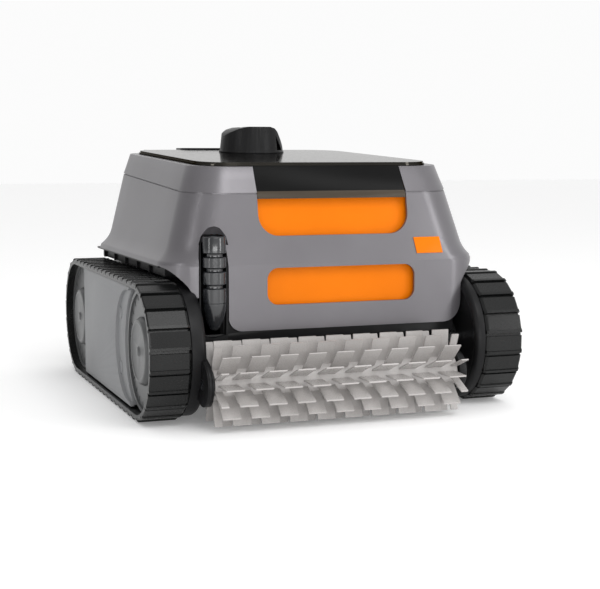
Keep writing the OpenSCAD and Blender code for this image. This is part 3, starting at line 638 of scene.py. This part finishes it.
def make_canister():
    """The open orange tub, with its mouth below, its side screens' holes and the flap's lugs."""
    low, high = node_box("filter_canister")
    front_low, front_top, back = low[1], low[1] + 13.5, high[1]
    bend_z, half, wall, corner = EAVE_Z, high[0], 2.5, 9

    def ring(z, inset):
        lean = max(0.0, (z - bend_z) / (high[2] - bend_z))
        front = front_low + (front_top - front_low) * lean
        outline = []
        for cx, start in ((-half + corner, 180), (half - corner, 270)):
            for i in range(17):
                turn = math.radians(start + 90 * i / 16)
                reach = corner - inset
                y = front + corner + reach * math.sin(turn)
                outline.append((cx + reach * math.cos(turn), y, z))
        outline += [(half - inset, back - inset, z), (-half + inset, back - inset, z)]
        return outline

    levels = [low[2], low[2] + 1.0, 115, bend_z, 155, 180, high[2]]
    outer = [ring(z, 1.0 if z == low[2] else 0) for z in levels]
    inner = [ring(z, wall) for z in (high[2], 180, 155, bend_z, 115, low[2] + wall)]
    mesh = loft("canister_body", outer + inner)
    mouth = prism("mouth", rectangle(-54, 54, -76.6, -54.6), 90, 105, "z")
    screen = rectangle(-102.6, 7.4, 123.6, 197.6)
    screens = [prism("screen_hole", screen, a, b, "x")
               for a, b in ((-half - 4, 5 - half), (half - 5, half + 4))]
    lug = rectangle(-50.6, -42.6, 97.7, 108.6)
    lugs = [prism("lug", lug, a, b, "x") for a, b in ((-63, -59), (59, 63))]
    mesh = combine(mesh, lugs, "UNION")
    mesh = combine(mesh, [mouth] + screens)
    return replace_node("filter_canister", mesh, 0.5)


# ---------------------------------------------------------------- belts and drums

def belt_path():
    """The belt's ribs, as (part, share, pitch, length), and the function that places a point on it."""
    arc_ribs, straight_ribs = 10, 15
    span = rear_y - front_y
    stops = []

    def on_arc(centre, sign, turn):
        out_y, out_z = -sign * math.sin(turn), sign * math.cos(turn)
        return (centre, wheel_z, out_y, out_z)

    def spot(s):
        """The path point at s: 0-1 front arc, 1-2 bottom, 2-3 rear arc, 3-4 top."""
        part, share = int(s) % 4, s - int(s)
        if part == 0:
            return on_arc(front_y, 1, share * math.pi)
        if part == 1:
            return (front_y + share * span, wheel_z, 0, -1)
        if part == 2:
            return on_arc(rear_y, -1, share * math.pi)
        return (rear_y - share * span, wheel_z, 0, 1)

    for part, ribs in enumerate((arc_ribs, straight_ribs, arc_ribs, straight_ribs)):
        length = math.pi * track_r if part % 2 == 0 else span
        for i in range(ribs):
            centre = (i + 0.5) / ribs
            stops.append((part, centre, length / ribs, length))
    return stops, spot


def belt_ring(inset):
    """Outline of the belt's outer face: a rib, a groove after it, and a flat pad to the next rib."""
    stops, spot = belt_path()
    rib, groove, pad_depth, groove_depth = 1.3, 2.5, 1.2, 3.2
    tooth = ((-rib - 0.25, pad_depth), (-rib, 0), (rib, 0), (rib + 0.25, groove_depth),
             (rib + groove, groove_depth), (rib + groove + 0.35, pad_depth))
    points = []
    for part, centre, pitch, length in stops:
        for offset, depth in tooth:
            y, z, out_y, out_z = spot(part + centre + offset / length)
            r = track_r - depth - inset
            points.append((y + out_y * r, z + out_z * r))
    return points


def belt_inner_ring():
    """The belt's smooth inner face, with as many points as its outer face."""
    stops, spot = belt_path()
    inner = track_r - 6.4
    points = []
    for part, centre, pitch, length in stops:
        for share in (-0.42, -0.25, -0.1, 0.1, 0.25, 0.42):
            y, z, out_y, out_z = spot(part + centre + share * pitch / length)
            points.append((y + out_y * inner, z + out_z * inner))
    return points


def make_track(side):
    """One ribbed belt, with its edges chamfered across its width."""
    name = "track_left" if side < 0 else "track_right"
    low, high = node_box(name)
    near, far = sorted((abs(low[0]), abs(high[0])))
    chamfers = [(near, 1.6), (near + 1.6, 0.5), (near + 2.4, 0), (far - 1.2, 0), (far, 1.0)]
    rings = [[(side * x, y, z) for y, z in belt_ring(inset)] for x, inset in chamfers]
    inner = belt_inner_ring()
    rings += [[(side * x, y, z) for y, z in inner] for x in (far, near)]
    mesh = loft(name + "_belt", rings, closed=True)
    return replace_node(name, mesh)


def racetrack(r, x, steps=32):
    """Outline around both axles."""
    points = []
    for i in range(steps + 1):
        turn = math.radians(90 + 180 * i / steps)
        points.append((x, front_y + r * math.cos(turn), wheel_z + r * math.sin(turn)))
    for i in range(steps + 1):
        turn = math.radians(-90 + 180 * i / steps)
        points.append((x, rear_y + r * math.cos(turn), wheel_z + r * math.sin(turn)))
    return points


def arm_outline(r, steps=24):
    """Outline around the front axle and the brush axis."""
    lean = math.atan2(brush_z - wheel_z, brush_y - front_y)
    points = []
    ends = ((brush_y, brush_z, lean - math.pi / 2), (front_y, wheel_z, lean + math.pi / 2))
    for cy, cz, start in ends:
        for i in range(steps + 1):
            turn = start + math.pi * i / steps
            points.append((cy + r * math.cos(turn), cz + r * math.sin(turn)))
    return points


def circle(r, cy, cz, steps=48):
    turns = [2 * math.pi * i / steps for i in range(steps)]
    return [(cy + r * math.cos(turn), cz + r * math.sin(turn)) for turn in turns]


def side_prism(name, outline, side, near, far):
    """A prism along X at distances from the middle plane, on one side."""
    low, high = sorted((side * near, side * far))
    return prism(name, outline, low, high, "x")


CHASSIS_HALF = 125
POSTS = [(-40, 37), (-40, 89), (60, 37), (60, 89)]
NOSE_R = 19.5
NOSE_FACE = 128
CASE_NEAR = 129.3
CASE_FAR = 133.8


def make_side_frame(side):
    """The drum beside a track: a dished inner face, a rounded shoulder and a wall to the belt."""
    name = "side_frame_left" if side < 0 else "side_frame_right"
    low, high = node_box(name)
    outer = max(abs(low[0]), abs(high[0]))
    face = NOSE_FACE if side < 0 else 132.6
    r = track_r - 3
    dish = [(face + 0.9, r - 9), (face + 0.3, r - 6.4), (face, r - 5.4), (face, r - 4.6)]
    shoulder = [(face + 0.4, r - 3.2), (face + 1.4, r - 1.5), (face + 3, r - 0.4), (face + 4.6, r)]
    rim = [(outer - 0.4, r), (outer, r - 0.4), (outer, r - 2.5), (face + 3, r - 2.5), (face + 3, r - 9)]
    profile = dish + shoulder + rim
    rings = [racetrack(radius, side * x) for x, radius in profile]
    mesh = loft(name + "_drum", rings)
    holes = [side_prism("hole", circle(hole_r, hole_y, wheel_z), side, face - 1, face + 4)
             for hole_r, hole_y in ((16, front_y), (16, rear_y), (6, pinion_y))]
    posts = []
    for cy, cz in POSTS:
        posts.append(side_prism("post", circle(7, cy, cz, 24), side, CHASSIS_HALF, face + 1.2))
        screw = circle(2.05, cy, cz, 16)
        holes.append(side_prism("screw_hole", screw, side, CHASSIS_HALF - 1, face + 5))
    mesh = combine(mesh, posts, "UNION")
    if side < 0:
        nose = side_prism("nose", arm_outline(NOSE_R), side, NOSE_FACE, 130)
        mesh = combine(mesh, [nose], "UNION")
        holes.append(side_prism("case_room", arm_outline(NOSE_R + 0.3), side, CASE_NEAR, CASE_FAR))
        bearing = circle(5.1, brush_y, brush_z, 32)
        holes.append(side_prism("brush_bearing", bearing, side, 126, 133))
    mesh = combine(mesh, holes)
    if side < 0:
        idler_y, idler_z = joint_place["brush_idler_spin"][1:]
        post = side_prism("idler_post", circle(3, idler_y, idler_z, 24), side, NOSE_FACE, 132.5)
        mesh = combine(mesh, [post], "UNION")
    return replace_node(name, mesh, 0.35, sharp=32)


# ---------------------------------------------------------------- brush

def make_brush_blades():
    """Rows of blades, thin at the tip and a little curled; every second row is shifted sideways."""
    low, high = node_box("brush_blades")
    x0, x1 = low[0], high[0]
    r_root, r_tip = 13.0, (high[2] - low[2]) / 2 - 0.05
    pitch, width, rows = 26.1, 16.5, 16
    count = int((x1 - x0 - width) / pitch)
    start = (x0 + x1 - count * pitch - width) / 2
    bm = bmesh.new()

    def blade(row, xa, xb):
        turn = 2 * math.pi * row / rows
        out = Vector((0, math.cos(turn), math.sin(turn)))
        side = Vector((0, -math.sin(turn), math.cos(turn)))
        stations = 5
        tip_trim = 0.4
        rings = []
        for s in range(stations + 1):
            share = s / stations
            r = r_root + (r_tip - r_root) * share
            trim = tip_trim if s == stations else 0.0
            if s == stations - 1:
                r = r_tip - tip_trim
            half = 0.85 - 0.3 * share
            curl = 0.6 * share ** 2
            centre = out * r * math.cos(curl / 38) + side * (curl - 0.4)
            ring = []
            for x, sign in ((xa + trim, -1), (xb - trim, -1), (xb - trim, 1), (xa + trim, 1)):
                spot = Vector((x, brush_y, brush_z)) + centre + side * half * sign
                ring.append(bm.verts.new(spot * MM))
            rings.append(ring)
        for a, b in zip(rings, rings[1:]):
            for i in range(4):
                bm.faces.new((a[i], a[(i + 1) % 4], b[(i + 1) % 4], b[i]))
        bm.faces.new(rings[0])
        bm.faces.new(rings[-1])

    for row in range(rows):
        shift = (row % 2) * 0.5
        for i in range(count + 1 + row % 2):
            xa = start + (i - shift) * pitch
            blade(row, max(x0, xa), min(x1, xa + width))
    bmesh.ops.recalc_face_normals(bm, faces=bm.faces)
    mesh = bpy.data.meshes.new("blade_rows")
    bm.to_mesh(mesh)
    bm.free()
    sleeve = [(11.1, x0 + 0.6), (14.2, x0 + 0.6), (14.5, x0 + 0.9),
              (14.5, x1 - 0.9), (14.2, x1 - 0.6), (11.1, x1 - 0.6)]
    tube = lathe("sleeve", sleeve, (0, brush_y, brush_z), "x", 64)
    bm = bmesh.new()
    bm.from_mesh(mesh)
    bm.from_mesh(tube)
    bm.to_mesh(mesh)
    bm.free()
    return replace_node("brush_blades", mesh)


def make_lip():
    """The lid's front lip: black above, and a thin smoked strip along its lower edge."""
    low, high = node_box("lid_grip")
    room = rectangle(-120, 120, low[1] - 5, high[1] + 5)
    whole = nodes["lid_grip"].data
    body = body_of_node["lid_grip"]
    below = prism("strip_room", room, low[2] - 5, STRIP_TOP, "z")
    black = combine(whole.copy(), [below])
    strip = combine(whole.copy(), [below], "INTERSECT")
    lip_piece = add_piece("lid_grip_skin", black, "lid_black", body, "lid_grip")
    round_edges(lip_piece, 0.6)
    strip_piece = add_piece("lid_strip", strip, "smoked_lid", body)
    strip_piece.data.materials[0] = materials["smoked_strip"]
    round_edges(strip_piece, 0.3)


make_shell()
make_top_rim()
make_lip()
make_boot()
make_bracket()
make_canister()
for side in (-1, 1):
    make_track(side)
    make_side_frame(side)
make_brush_blades()

# Width of the rounding on the other visible nodes. Hidden nodes and the wheels keep the CAD mesh.
SOFT_EDGES = {
    "lid_panel": 0.6, "outlet_nozzle": 0.3, "carry_handle": 0.8, "badge": 0.2,
    "hub_cap_front_left": 0.4, "hub_cap_front_right": 0.4, "hub_cap_rear_left": 0.4,
    "hub_cap_rear_right": 0.4, "side_plate_left": 0.5, "side_plate_right": 0.5,
    "brush_arm_left": 0.5, "brush_arm_right": 0.5, "brush_arm_cover": 0.4, "chassis": 0.6,
}
for node_name, edge in SOFT_EDGES.items():
    soften(node_name, edge)

# The lid's face is one flat pane, so its shading is not blended into the hinge straps
lid_skin = bpy.data.objects["lid_panel_skin"]
lid_skin.data.shade_flat()

for node_name, node_object in nodes.items():
    node_object.data.materials.clear()
    node_object.data.materials.append(materials[slot_of_node[node_name]])
